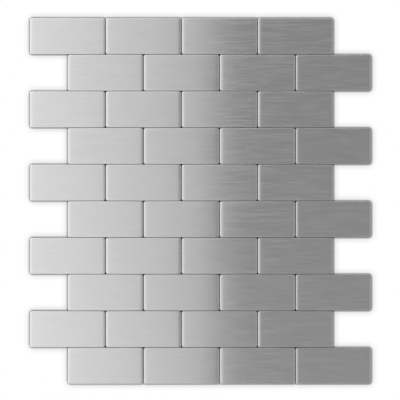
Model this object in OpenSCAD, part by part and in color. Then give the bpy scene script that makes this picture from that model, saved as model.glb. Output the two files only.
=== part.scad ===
// Peel and stick metal mosaic sheet for a backsplash: rolled-edge metal chips
// laid in a running bond on an adhesive sheet, with a release liner under it.
// The sheet lies face up. The origin is the centre of the liner's underside,
// +Z is out of the metal face and +Y runs up the wall.

/* [Layout] */
// Number of rows of chips
rows = 10; // [2:1:11]
// Number of chips in each row
columns = 4; // [2:1:5]
// Open joint between neighbouring chips
joint = 0.3; // [0.2:0.1:1.5]
// Shift of every second row, as a share of the spacing of the chips
bond_share = 0.5; // [0.25:0.05:0.5]

/* [Chip] */
// Length of a chip, along its row
chip_length = 63.2; // [40:0.1:120]
// Width of a chip, across its row
chip_width = 30.3; // [20:0.1:60]
// Thickness of a chip
chip_thickness = 4; // [3:0.1:6]
// Radius of a chip's corners, and the width of the rolled edge that runs round its face
corner_radius = 1.6; // [1.2:0.1:3]
// Radius of the brink, where the face turns down into the side
brink_radius = 0.5; // [0.3:0.1:0.8]
// Slope at which the soft shoulder of the face runs into the brink, in degrees
shoulder_slope = 20; // [10:1:30]

/* [Backing] */
// Thickness of the adhesive sheet
adhesive_thickness = 0.9; // [0.5:0.05:1.5]
// Distance of the adhesive sheet's outline in from the chips' outer edges
adhesive_inset = 0.9; // [0.5:0.1:2]
// Thickness of the release liner
liner_thickness = 0.15; // [0.1:0.05:0.3]
// Distance of the liner's outline in from the chips' outer edges
liner_inset = 0.4; // [0.2:0.1:0.5]
// Radius of the outer corners of the adhesive sheet and the liner
backing_corner_radius = 1.5; // [0.5:0.1:3]

/* [Hidden] */
$fn = 96;
metal_colour = [0.72, 0.72, 0.72];
adhesive_colour = [0.2, 0.2, 0.21];
liner_colour = [0.93, 0.92, 0.88];

// Spacing of the chips along a row, and of the rows
pitch_x = chip_length + joint;
pitch_y = chip_width + joint;

// The chip's straight sides and the flat middle of its face end at the axes of its corners
flat_length = chip_length - 2 * corner_radius;
flat_width = chip_width - 2 * corner_radius;

// The shoulder is an arc that starts level at a corner's axis and meets the brink at shoulder_slope
shoulder_reach = corner_radius - brink_radius * (1 - sin(shoulder_slope));
shoulder_radius = shoulder_reach / sin(shoulder_slope);
wall_height = chip_thickness - shoulder_radius * (1 - cos(shoulder_slope))
    - brink_radius * cos(shoulder_slope);

adhesive_bottom = liner_thickness;
chip_bottom = adhesive_bottom + adhesive_thickness;

function chip_name(row, column) = str("chip_row", row, "_col", column);

// Rows count down from the top edge, and columns from the left
function row_shift(row) = (row % 2 == 1 ? -0.5 : 0.5) * bond_share * pitch_x;
function row_y(row) = ((rows + 1) / 2 - row) * pitch_y;
function chip_x(row, column) = (column - (columns + 1) / 2) * pitch_x + row_shift(row);

row_length = columns * pitch_x - joint;

// Section through a chip's edge: level at x = 0, and the side wall is at x = corner_radius
module edge_section() {
    square([corner_radius, wall_height]);
    intersection() {
        translate([0, chip_thickness - shoulder_radius])
            circle(r = shoulder_radius);
        square([shoulder_reach, chip_thickness]);
    }
    intersection() {
        translate([corner_radius - brink_radius, wall_height])
            circle(r = brink_radius);
        translate([shoulder_reach, 0])
            square([corner_radius - shoulder_reach, chip_thickness]);
    }
}

// A straight rolled edge of the given length, centred, facing +X from the line of the corner axes
module rolled_edge(length) {
    rotate([90, 0, 0])
        linear_extrude(height = length, center = true)
            edge_section();
}

module rolled_corner() {
    rotate_extrude(angle = 90)
        edge_section();
}

// One chip, centred, standing on z = 0: a flat middle, four rolled edges and four turned corners
module rolled_chip() {
    translate([-flat_length / 2, -flat_width / 2, 0])
        cube([flat_length, flat_width, chip_thickness]);
    for (turn = [0, 180])
        rotate([0, 0, turn]) {
            translate([flat_length / 2, 0, 0])
                rolled_edge(flat_width);
            translate([0, flat_width / 2, 0])
                rotate([0, 0, 90])
                    rolled_edge(flat_length);
            translate([flat_length / 2, flat_width / 2, 0])
                rolled_corner();
            translate([-flat_length / 2, flat_width / 2, 0])
                rotate([0, 0, 90])
                    rolled_corner();
        }
}

module chip(row, column) {
    color(metal_colour)
        translate([chip_x(row, column), row_y(row), chip_bottom])
            rolled_chip();
}

module rounded_rectangle(length, width, radius) {
    square([length - 2 * radius, width], center = true);
    square([length, width - 2 * radius], center = true);
    for (x = [-1, 1], y = [-1, 1])
        translate([x * (length / 2 - radius), y * (width / 2 - radius)])
            circle(r = radius);
}

// Outline of the whole sheet with its stepped ends, drawn in from the chips' outer edges by inset
module stepped_outline(inset) {
    for (row = [1 : rows])
        translate([row_shift(row), row_y(row)])
            rounded_rectangle(
                row_length - 2 * inset, chip_width - 2 * inset, backing_corner_radius
            );
    // Neighbouring rows run together where they lie side by side
    shared_length = row_length - bond_share * pitch_x - 2 * inset;
    for (row = [1 : rows - 1])
        translate([0, row_y(row) - pitch_y / 2])
            square([shared_length, pitch_y], center = true);
}

module adhesive_sheet() {
    color(adhesive_colour)
        translate([0, 0, adhesive_bottom])
            linear_extrude(height = adhesive_thickness)
                stepped_outline(adhesive_inset);
}

module release_liner() {
    color(liner_colour)
        linear_extrude(height = liner_thickness)
            stepped_outline(liner_inset);
}

for (row = [1 : rows], column = [1 : columns])
    chip(row, column);
adhesive_sheet();
release_liner();
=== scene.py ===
import math
import bpy
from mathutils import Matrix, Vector


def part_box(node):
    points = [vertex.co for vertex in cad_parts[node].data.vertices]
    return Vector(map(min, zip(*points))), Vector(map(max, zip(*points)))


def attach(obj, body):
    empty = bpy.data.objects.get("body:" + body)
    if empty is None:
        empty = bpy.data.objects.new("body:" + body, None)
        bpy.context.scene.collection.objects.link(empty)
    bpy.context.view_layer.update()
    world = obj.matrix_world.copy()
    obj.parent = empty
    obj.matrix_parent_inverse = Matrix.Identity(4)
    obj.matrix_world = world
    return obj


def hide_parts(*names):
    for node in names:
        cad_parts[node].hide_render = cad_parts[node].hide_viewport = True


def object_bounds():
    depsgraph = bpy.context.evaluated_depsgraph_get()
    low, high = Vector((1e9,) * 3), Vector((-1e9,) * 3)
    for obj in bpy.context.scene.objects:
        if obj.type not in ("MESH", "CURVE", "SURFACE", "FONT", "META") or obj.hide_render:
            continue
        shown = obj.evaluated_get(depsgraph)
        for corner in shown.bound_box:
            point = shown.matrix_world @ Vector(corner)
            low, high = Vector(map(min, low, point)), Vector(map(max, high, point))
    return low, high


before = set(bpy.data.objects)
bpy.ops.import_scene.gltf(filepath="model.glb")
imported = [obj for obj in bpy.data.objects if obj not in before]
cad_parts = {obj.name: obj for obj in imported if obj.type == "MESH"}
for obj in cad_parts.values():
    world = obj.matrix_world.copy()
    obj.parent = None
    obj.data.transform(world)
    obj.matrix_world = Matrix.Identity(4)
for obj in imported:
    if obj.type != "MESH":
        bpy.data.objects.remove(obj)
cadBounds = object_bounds()
print("frame loaded:", len(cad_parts), "nodes")

# Sizes are in metres and angles in degrees, in the sheet's own frame:
# +Z out of the metal face, +Y up the wall, +X to the right along the rows.

overhead = {
    "imagePixels": 400,  # width and height of the picture
    "chipPitch": 0.0635,  # spacing of the chips along a row
    "pitchPixels": 76.03,  # the same spacing in the picture
    "sheetPixel": (200.55, 200.93),  # where the middle of the sheet lies in the picture
    "distance": 4.5,  # from the lens to the metal face
    "sensor": 36.0,  # millimetres
    "clip": (0.01, 50.0),  # nearest and farthest point that the lens sees
}


def makeCamera(shot, faceHeight):
    metresPerPixel = shot["chipPitch"] / shot["pitchPixels"]
    middle = shot["imagePixels"] / 2
    aimX = (middle - shot["sheetPixel"][0]) * metresPerPixel
    aimY = (shot["sheetPixel"][1] - middle) * metresPerPixel
    lens = bpy.data.cameras.new("overheadLens")
    lens.sensor_width = shot["sensor"]
    lens.lens = shot["sensor"] * shot["distance"] / (shot["imagePixels"] * metresPerPixel)
    lens.clip_start, lens.clip_end = shot["clip"]
    camera = bpy.data.objects.new("overheadCamera", lens)
    camera.location = (aimX, aimY, faceHeight + shot["distance"])
    bpy.context.scene.collection.objects.link(camera)
    bpy.context.scene.camera = camera


makeCamera(overhead, cadBounds[1].z)
print("camera placed")


# Small helpers for shader nodes

def grey(tone):
    return (tone, tone, tone, 1)


def newMaterial(name):
    material = bpy.data.materials.new(name)
    material.use_nodes = True
    nodes = material.node_tree.nodes
    nodes.clear()
    output = nodes.new("ShaderNodeOutputMaterial")
    return material, nodes, material.node_tree.links, output


def addNode(nodes, kind, **settings):
    node = nodes.new(kind)
    for name, value in settings.items():
        setattr(node, name, value)
    return node


def mapRange(nodes, links, source, low, high, fromLow=0.0, fromHigh=1.0):
    node = addNode(nodes, "ShaderNodeMapRange")
    node.inputs["From Min"].default_value = fromLow
    node.inputs["From Max"].default_value = fromHigh
    node.inputs["To Min"].default_value = low
    node.inputs["To Max"].default_value = high
    links.new(source, node.inputs["Value"])
    return node.outputs["Result"]


def calculate(nodes, links, operation, first, second=None):
    # the second value is a number or comes from another node
    node = addNode(nodes, "ShaderNodeMath", operation=operation)
    links.new(first, node.inputs[0])
    if isinstance(second, float):
        node.inputs[1].default_value = second
    elif second is not None:
        links.new(second, node.inputs[1])
    return node.outputs["Value"]


def chain(nodes, links, operation, values):
    total = values[0]
    for value in values[1:]:
        total = calculate(nodes, links, operation, total, value)
    return total


def scalePlace(nodes, links, place, scale):
    node = addNode(nodes, "ShaderNodeVectorMath", operation="MULTIPLY")
    node.inputs[1].default_value = scale
    links.new(place, node.inputs[0])
    return node.outputs["Vector"]


def addNoise(nodes, links, place, scale, detail):
    noise = addNode(nodes, "ShaderNodeTexNoise")
    noise.inputs["Scale"].default_value = scale
    noise.inputs["Detail"].default_value = detail
    links.new(place, noise.inputs["Vector"])
    return noise.outputs["Fac"]


def addRelief(nodes, links, shader, height, depth):
    relief = addNode(nodes, "ShaderNodeBump")
    relief.inputs["Strength"].default_value = 1.0
    relief.inputs["Distance"].default_value = depth
    links.new(height, relief.inputs["Height"])
    links.new(relief.outputs["Normal"], shader.inputs["Normal"])


def mixShaders(nodes, links, share, first, second):
    mix = addNode(nodes, "ShaderNodeMixShader")
    links.new(share, mix.inputs["Fac"])
    links.new(first, mix.inputs[1])
    links.new(second, mix.inputs[2])
    return mix.outputs["Shader"]


# Brushed stainless skin of the chips

brushedSteel = {
    "tone": 0.60,  # plain grey, linear
    "toneSpread": 0.04,  # share by which single streaks are lighter or darker
    "roughness": 0.42,
    "roughnessSpread": 0.02,
    "anisotropy": 0.75,
    "streaks": {"length": 0.026, "width": 0.0009, "detail": 2.0},
    "hairs": {"length": 0.014, "width": 0.00028, "detail": 1.0},
    "hairShare": 0.45,  # part that the fine hairs have in the brushing
    "usualStrength": (0.4, 0.6),  # the brushing mostly lies between these
    "scratchTone": 0.72,
    "scratchRoughness": 0.9,  # scratches scatter light more widely
    "scratchStrength": (0.5, 0.6),  # strength of the brushing where a scratch begins and is full
    "scratchShare": 0.285,  # how far a full scratch takes over from the rest of the skin
    "reliefDepth": 0.000006,
    "stripShift": (3.1, 1.7, 5.3),  # every chip was cut from another place of the brushed strip
}


def makeBrushing(nodes, links, look):
    # strength of the brushing, from 0 to 1: broad streaks and fine hairs along the chip
    place = addNode(nodes, "ShaderNodeTexCoord")
    info = addNode(nodes, "ShaderNodeObjectInfo")
    shifted = addNode(nodes, "ShaderNodeVectorMath", operation="ADD")
    links.new(place.outputs["Object"], shifted.inputs[0])
    shift = scalePlace(nodes, links, info.outputs["Random"], look["stripShift"])
    links.new(shift, shifted.inputs[1])
    brushing = addNode(nodes, "ShaderNodeMix", data_type="FLOAT")
    brushing.inputs["Factor"].default_value = look["hairShare"]
    for socket, strokes in (("A", look["streaks"]), ("B", look["hairs"])):
        length, width = strokes["length"], strokes["width"]
        scale = (1 / length, 1 / width, 1 / length)
        stretched = scalePlace(nodes, links, shifted.outputs["Vector"], scale)
        noise = addNoise(nodes, links, stretched, 1.0, strokes["detail"])
        links.new(noise, brushing.inputs[socket])
    return brushing.outputs["Result"]


def makeBrushedSteel(look):
    material, nodes, links, output = newMaterial("brushedSteel")
    brushing = makeBrushing(nodes, links, look)

    def spreadOver(middle, spread):
        low, high = look["usualStrength"]
        return mapRange(nodes, links, brushing, middle - spread, middle + spread, low, high)

    skin = addNode(nodes, "ShaderNodeBsdfPrincipled")
    skin.inputs["Metallic"].default_value = 1.0
    skin.inputs["Anisotropic"].default_value = look["anisotropy"]
    tone = spreadOver(look["tone"], look["tone"] * look["toneSpread"])
    tones = addNode(nodes, "ShaderNodeCombineColor")
    for channel in ("Red", "Green", "Blue"):
        links.new(tone, tones.inputs[channel])
    links.new(tones.outputs["Color"], skin.inputs["Base Color"])
    roughness = spreadOver(look["roughness"], look["roughnessSpread"])
    links.new(roughness, skin.inputs["Roughness"])
    addRelief(nodes, links, skin, brushing, look["reliefDepth"])

    # highlights run across the brushing, so the tangent is the chip's own Y
    across = addNode(nodes, "ShaderNodeVectorTransform", vector_type="VECTOR",
                     convert_from="OBJECT", convert_to="WORLD")
    across.inputs["Vector"].default_value = (0, 1, 0)
    links.new(across.outputs["Vector"], skin.inputs["Tangent"])

    scratches = addNode(nodes, "ShaderNodeBsdfPrincipled")
    scratches.inputs["Base Color"].default_value = grey(look["scratchTone"])
    scratches.inputs["Metallic"].default_value = 1.0
    scratches.inputs["Roughness"].default_value = look["scratchRoughness"]
    begins, full = look["scratchStrength"]
    scratched = mapRange(nodes, links, brushing, 0.0, look["scratchShare"], begins, full)
    steel = mixShaders(nodes, links, scratched, skin.outputs["BSDF"], scratches.outputs["BSDF"])
    links.new(steel, output.inputs["Surface"])
    return material


# The chips: rolled edges, turned corners and a slightly pillowed face

chip = {
    "cornerRadius": 0.0016,  # also the width of the rolled edge
    "brinkRadius": 0.0005,  # where the face turns down into the side
    "shoulderSlope": 20.0,  # slope at which the soft shoulder runs into the brink
    "footBevel": 0.00012,  # round the underside
    "crown": 0.00006,  # fall of the face from its middle to a corner
    "crownPower": 4,
    "falls": [  # further falls of the face, each over its reach in from the rolled edge
        {"reach": 0.018, "atEnds": 0.00025, "atSides": 0.0, "power": 2},
        {"reach": 0.005, "atEnds": 0.00007, "atSides": 0.00002, "power": 3},
        {"reach": 0.001, "atEnds": 0.0001, "atSides": 0.0, "power": 2},
    ],
    "fallEase": 0.35,  # how soon a fall eases off over the rolled edge
    "closeShare": 0.6,  # the close part of the face grid takes at most this share of half a chip
    "cornerSteps": 6,
    "brinkSteps": 7,
    "shoulderSteps": 5,
    "fallSteps": 12,
    "lengthSteps": 12,
    "widthSteps": 5,
}


def chipSection(shape, thickness):
    # points from the underside up to the rolled edge: inset from the side, height
    slope = math.radians(shape["shoulderSlope"])
    corner, brink, foot = shape["cornerRadius"], shape["brinkRadius"], shape["footBevel"]
    shoulder = (corner - brink * (1 - math.sin(slope))) / math.sin(slope)
    wall = thickness - shoulder * (1 - math.cos(slope)) - brink * math.cos(slope)
    section = [(foot, 0.0), (0.0, foot)]
    for step in range(shape["brinkSteps"] + 1):
        tilt = math.pi / 2 + (slope - math.pi / 2) * step / shape["brinkSteps"]
        section.append((brink * (1 - math.sin(tilt)), wall + brink * math.cos(tilt)))
    for step in range(1, shape["shoulderSteps"]):
        tilt = slope * (1 - step / shape["shoulderSteps"])
        height = thickness - shoulder * (1 - math.cos(tilt))
        section.append((corner - shoulder * math.sin(tilt), height))
    return section


def faceStations(shape, half, middleSteps):
    # places of the face grid along one axis, close together where the face falls
    steps = shape["fallSteps"]
    reach = min(shape["falls"][0]["reach"], shape["closeShare"] * half)
    falling = [half - reach * (step / steps) ** 2 for step in range(steps)]
    middle = [(half - reach) * (1 - 2 * step / middleSteps) for step in range(middleSteps + 1)]
    return falling + middle + [-place for place in reversed(falling)]


def chipRing(shape, alongX, alongY, inset):
    # one outline of the chip, with a point for every place of the grid and round corners
    signs = [(1, 1), (-1, 1), (-1, -1), (1, -1)]
    radius = shape["cornerRadius"] - inset
    sides = [
        [(x, alongY[0] + radius) for x in alongX[1:-1]],
        [(alongX[-1] - radius, y) for y in alongY[1:-1]],
        [(x, alongY[-1] - radius) for x in reversed(alongX[1:-1])],
        [(alongX[0] + radius, y) for y in reversed(alongY[1:-1])],
    ]
    ring = []
    for turn, (signX, signY) in enumerate(signs):
        for step in range(shape["cornerSteps"] + 1):
            angle = math.pi / 2 * (turn + step / shape["cornerSteps"])
            x = signX * alongX[0] + radius * math.cos(angle)
            y = signY * alongY[0] + radius * math.sin(angle)
            ring.append((x, y))
        ring += sides[turn]
    return ring


def faceBorder(shape, columns, rows):
    # for every point of a ring, the row and column of the face grid that it closes on
    corner = shape["cornerSteps"] + 1
    lastRow, lastColumn = rows - 1, columns - 1
    border = [(0, 0)] * corner
    border += [(0, column) for column in range(1, lastColumn)]
    border += [(0, lastColumn)] * corner
    border += [(row, lastColumn) for row in range(1, lastRow)]
    border += [(lastRow, lastColumn)] * corner
    border += [(lastRow, column) for column in range(lastColumn - 1, 0, -1)]
    border += [(lastRow, 0)] * corner
    border += [(row, 0) for row in range(lastRow - 1, 0, -1)]
    return border


def fallAt(shape, fall, depth, place, half):
    # it reaches its depth where the rolled edge starts, and eases off beyond that
    corner = shape["cornerRadius"]
    beyond = (abs(place) - half + corner) / corner
    if beyond > 0:
        steepness = fall["power"] * corner / fall["reach"]
        return depth * (1 + steepness * (beyond - shape["fallEase"] * beyond ** 2))
    share = max(0.0, 1 + beyond * corner / fall["reach"])
    return depth * share ** fall["power"]


def pillow(shape, x, y, halfLength, halfWidth):
    # how far the face lies below a flat one
    power = shape["crownPower"]
    drop = shape["crown"] * ((x / halfLength) ** power + (y / halfWidth) ** power) / 2
    for fall in shape["falls"]:
        drop += fallAt(shape, fall, fall["atEnds"], x, halfLength)
        drop += fallAt(shape, fall, fall["atSides"], y, halfWidth)
    return drop


def makeChipMesh(shape, size):
    halfLength, halfWidth, thickness = size.x / 2, size.y / 2, size.z
    alongX = faceStations(shape, halfLength - shape["cornerRadius"], shape["lengthSteps"])
    alongY = faceStations(shape, halfWidth - shape["cornerRadius"], shape["widthSteps"])
    rows, columns = len(alongY), len(alongX)
    section = chipSection(shape, thickness)
    points = []
    for inset, height in section:
        points += [(x, y, height) for x, y in chipRing(shape, alongX, alongY, inset)]
    firstFace = len(points)
    points += [(x, y, thickness) for y in alongY for x in alongX]

    faces = []
    around = firstFace // len(section)
    for ring in range(len(section) - 1):
        for place in range(around):
            a, b = ring * around + place, ring * around + (place + 1) % around
            faces.append((a, b, b + around, a + around))
    lastRing = firstFace - around
    border = [firstFace + row * columns + column for row, column in faceBorder(shape, columns, rows)]
    for place in range(around):
        following = (place + 1) % around
        outline = [lastRing + place, lastRing + following, border[following], border[place]]
        faces.append(tuple(dict.fromkeys(outline)))  # a triangle at the corners
    for row in range(rows - 1):
        for column in range(columns - 1):
            a = firstFace + row * columns + column
            faces.append((a, a + 1, a + columns + 1, a + columns))
    faces.append(tuple(reversed(range(around))))  # the flat underside

    pillowed = []
    for x, y, z in points:
        if z > thickness / 2:
            z -= pillow(shape, x, y, halfLength, halfWidth)
        pillowed.append((x, y, z))
    mesh = bpy.data.meshes.new("rolledChip")
    mesh.from_pydata(pillowed, [], faces)
    mesh.polygons.foreach_set("use_smooth", [True] * (len(mesh.polygons) - 1) + [False])
    mesh.update()
    return mesh


steel = makeBrushedSteel(brushedSteel)
chipNames = [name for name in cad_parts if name.startswith("chip_")]
low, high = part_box(chipNames[0])
chipMesh = makeChipMesh(chip, high - low)
chipMesh.materials.append(steel)
for name in chipNames:
    low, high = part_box(name)
    piece = bpy.data.objects.new("brushed_" + name, chipMesh)
    piece.location = ((low.x + high.x) / 2, (low.y + high.y) / 2, low.z)
    bpy.context.scene.collection.objects.link(piece)
    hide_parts(name)
    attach(piece, "root")
print("chips made:", len(chipNames), "with", len(chipMesh.polygons), "faces each")


# Foam adhesive and release paper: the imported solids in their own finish

foam = {
    "colour": (0.035, 0.035, 0.037),
    "roughness": (0.9, 1.0),  # in the middle of a cell and at its wall
    "cellSize": 0.0003,
    "cellDepth": 0.00006,
}

paper = {
    "colour": (0.80, 0.78, 0.72),
    "colourSpread": 0.04,  # share by which the darkest clouds are darker
    "cloudSize": 0.012,
    "cloudDetail": 6.0,
    "roughness": 0.45,
    "roughnessSpread": 0.08,
    "fibreSize": 0.0006,
    "fibreDetail": 3.0,
    "fibreDepth": 0.00001,
}


def dress(name, material):
    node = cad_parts[name]
    node.data.materials.clear()
    node.data.materials.append(material)


def makeFoam(look):
    material, nodes, links, output = newMaterial("foamAdhesive")
    shader = addNode(nodes, "ShaderNodeBsdfPrincipled")
    shader.inputs["Base Color"].default_value = (*look["colour"], 1)
    links.new(shader.outputs["BSDF"], output.inputs["Surface"])
    place = addNode(nodes, "ShaderNodeTexCoord")
    cells = addNode(nodes, "ShaderNodeTexVoronoi")
    cells.inputs["Scale"].default_value = 1 / look["cellSize"]
    links.new(place.outputs["Object"], cells.inputs["Vector"])
    roughness = mapRange(nodes, links, cells.outputs["Distance"], *look["roughness"])
    links.new(roughness, shader.inputs["Roughness"])
    addRelief(nodes, links, shader, cells.outputs["Distance"], look["cellDepth"])
    return material


def makePaper(look):
    material, nodes, links, output = newMaterial("releasePaper")
    shader = addNode(nodes, "ShaderNodeBsdfPrincipled")
    links.new(shader.outputs["BSDF"], output.inputs["Surface"])
    place = addNode(nodes, "ShaderNodeTexCoord").outputs["Object"]
    clouds = addNoise(nodes, links, place, 1 / look["cloudSize"], look["cloudDetail"])
    tint = addNode(nodes, "ShaderNodeMix", data_type="RGBA")
    darker = [channel * (1 - look["colourSpread"]) for channel in look["colour"]]
    tint.inputs["A"].default_value = (*darker, 1)
    tint.inputs["B"].default_value = (*look["colour"], 1)
    links.new(clouds, tint.inputs["Factor"])
    links.new(tint.outputs["Result"], shader.inputs["Base Color"])
    middle, spread = look["roughness"], look["roughnessSpread"]
    roughness = mapRange(nodes, links, clouds, middle - spread, middle + spread)
    links.new(roughness, shader.inputs["Roughness"])
    fibres = addNoise(nodes, links, place, 1 / look["fibreSize"], look["fibreDetail"])
    addRelief(nodes, links, shader, fibres, look["fibreDepth"])
    return material


dress("adhesive_sheet", makeFoam(foam))
dress("release_liner", makePaper(paper))
print("adhesive and liner dressed")


# Floor: white where the lens and reflections see it, darkened close to the sheet by a painted
# shadow, open from below

whiteFloor = {
    "width": 12.0,
    "gap": 0.00005,  # it lies this far under the liner
    "clearReach": 0.0002,  # rays that start closer to it than this, at the liner, go through
    "colour": 0.8,
    "contacts": [  # the wide and the close part of the painted shadow beside the sheet
        {"reach": 0.006, "depth": 0.3, "power": 1.0},
        {"reach": 0.0021, "depth": 1.7, "power": 1.4},
    ],
    "contactSamples": 32,
    "lean": (-0.08, 0.0, 0.997),  # the painted shadow is weaker on the side of the soft panel
}


def paintContactShadow(nodes, links, look):
    # painted shadow, worked out from ambient occlusion: 1 in the open, and less beside the sheet
    lean = addNode(nodes, "ShaderNodeCombineXYZ")
    for axis, share in zip("XYZ", look["lean"]):
        lean.inputs[axis].default_value = share
    depths = []
    for contact in look["contacts"]:
        nearby = addNode(nodes, "ShaderNodeAmbientOcclusion", samples=look["contactSamples"])
        nearby.inputs["Distance"].default_value = contact["reach"]
        links.new(lean.outputs["Vector"], nearby.inputs["Normal"])
        # doubled, because a wall beside the floor hides half of its sky
        hidden = mapRange(nodes, links, nearby.outputs["AO"], 2.0, 0.0)
        sharpened = calculate(nodes, links, "POWER", hidden, contact["power"])
        depths.append(calculate(nodes, links, "MULTIPLY", sharpened, -contact["depth"]))
    return calculate(nodes, links, "EXPONENT", chain(nodes, links, "ADD", depths))


def makeFloorMaterial(look):
    material, nodes, links, output = newMaterial("whiteFloor")
    shine = addNode(nodes, "ShaderNodeEmission")
    # the painted shadow dims the floor's glow beside the sheet
    links.new(paintContactShadow(nodes, links, look), shine.inputs["Strength"])
    matt = addNode(nodes, "ShaderNodeBsdfDiffuse")
    matt.inputs["Color"].default_value = grey(look["colour"])
    path = addNode(nodes, "ShaderNodeLightPath")
    rays = [path.outputs[ray] for ray in ("Is Camera Ray", "Is Glossy Ray", "Is Transmission Ray")]
    seen = chain(nodes, links, "MAXIMUM", rays)
    white = mixShaders(nodes, links, seen, matt.outputs["BSDF"], shine.outputs["Emission"])

    # from below the floor isn't there, and it doesn't darken the liner that lies on it
    side = addNode(nodes, "ShaderNodeNewGeometry")
    near = calculate(nodes, links, "LESS_THAN", path.outputs["Ray Length"], look["clearReach"])
    unseen = calculate(nodes, links, "MAXIMUM", side.outputs["Backfacing"], near)
    clear = addNode(nodes, "ShaderNodeBsdfTransparent")
    surface = mixShaders(nodes, links, unseen, white, clear.outputs["BSDF"])
    links.new(surface, output.inputs["Surface"])
    return material


def makeFloor(look):
    half = look["width"] / 2
    corners = [(-half, -half), (half, -half), (half, half), (-half, half)]
    mesh = bpy.data.meshes.new("floor")
    mesh.from_pydata([(x, y, -look["gap"]) for x, y in corners], [], [(0, 1, 2, 3)])
    mesh.materials.append(makeFloorMaterial(look))
    floor = bpy.data.objects.new("floor", mesh)
    bpy.context.scene.collection.objects.link(floor)


makeFloor(whiteFloor)
print("floor laid")


# Studio: a soft panel close over the left half, a strip at the top and a weak panel at the foot

softPanel = {
    "height": 0.125,
    "rightEdge": 0.0115,
    "length": 0.6525,
    "width": 1.2,
    "radiance": 1.0,
    "glow": [  # place from the left end to the right, share of the radiance
        (0.0, 1.1),
        (0.45, 1.02),
        (0.62, 1.0),
        (0.70, 0.91),
        (0.77, 0.785),
        (0.95, 0.45),
        (1.0, 0.42),
    ],
}

otherPanels = {
    "topStrip": {
        "place": (-0.1, 0.75, 0.36),
        "aim": (0, 0, 0),
        "size": (1.6, 0.25),
        "radiance": 1.6,
    },
    "footPanel": {
        "place": (0.25, -0.5, 0.5),
        "aim": (0.25, -0.5, 0),
        "size": (1.1, 0.8),
        "radiance": 0.2,
    },
}

sky = {
    "horizon": 0.5,
    "overhead": 0.36,
    "towardsBottom": 0.1,  # gain towards the bottom of the picture
    "towardsSides": 0.9,  # gain towards the left and right horizons
    "sidesStart": 0.45,  # how far to a side that gain starts
}


def makePanel(name, place, aim, size, radiance):
    lamp = bpy.data.lights.new(name, "AREA")
    lamp.shape = "RECTANGLE"
    lamp.size, lamp.size_y = size
    lamp.energy = radiance * math.pi * size[0] * size[1]  # power that gives this radiance
    holder = bpy.data.objects.new(name, lamp)
    holder.location = place
    facing = Vector(aim) - Vector(place)
    holder.rotation_euler = facing.to_track_quat("-Z", "Y").to_euler()
    holder.visible_camera = False
    bpy.context.scene.collection.objects.link(holder)
    return lamp


def makeSoftPanel(panel):
    middle = panel["rightEdge"] - panel["length"] / 2
    place, aim = (middle, 0, panel["height"]), (middle, 0, 0)
    size = (panel["length"], panel["width"])
    lamp = makePanel("softPanel", place, aim, size, panel["radiance"])
    lamp.use_nodes = True
    nodes, links = lamp.node_tree.nodes, lamp.node_tree.links
    nodes.clear()
    output = addNode(nodes, "ShaderNodeOutputLight")
    emission = addNode(nodes, "ShaderNodeEmission")
    links.new(emission.outputs["Emission"], output.inputs["Surface"])
    onPanel = addNode(nodes, "ShaderNodeNewGeometry")
    along = addNode(nodes, "ShaderNodeSeparateXYZ")
    links.new(onPanel.outputs["Parametric"], along.inputs["Vector"])
    ramp = addNode(nodes, "ShaderNodeValToRGB")
    stops = ramp.color_ramp.elements  # it starts with a stop at each end
    for position, glow in panel["glow"][1:-1]:
        stops.new(position)
    for stop, (position, glow) in zip(stops, panel["glow"]):
        stop.color = grey(glow)
    links.new(along.outputs["X"], ramp.inputs["Fac"])
    links.new(ramp.outputs["Color"], emission.inputs["Strength"])


def makeSky(look):
    world = bpy.data.worlds.new("studioSky")
    bpy.context.scene.world = world
    world.use_nodes = True
    nodes, links = world.node_tree.nodes, world.node_tree.links
    nodes.clear()
    output = addNode(nodes, "ShaderNodeOutputWorld")
    background = addNode(nodes, "ShaderNodeBackground")
    place = addNode(nodes, "ShaderNodeTexCoord")
    axes = addNode(nodes, "ShaderNodeSeparateXYZ")
    links.new(place.outputs["Generated"], axes.inputs["Vector"])
    height = mapRange(nodes, links, axes.outputs["Z"], look["horizon"], look["overhead"])
    gain = look["towardsBottom"]
    tilt = mapRange(nodes, links, axes.outputs["Y"], 1 + gain, 1 - gain, -1.0, 1.0)
    sideways = calculate(nodes, links, "ABSOLUTE", axes.outputs["X"])
    gain = look["towardsSides"]
    sides = mapRange(nodes, links, sideways, 1.0, 1 + gain, look["sidesStart"], 1.0)
    strength = chain(nodes, links, "MULTIPLY", [height, tilt, sides])
    links.new(strength, background.inputs["Strength"])
    links.new(background.outputs["Background"], output.inputs["Surface"])


makeSoftPanel(softPanel)
for name, panel in otherPanels.items():
    makePanel(name, **panel)
makeSky(sky)
bpy.context.scene.view_settings.view_transform = "Standard"
print("studio set")
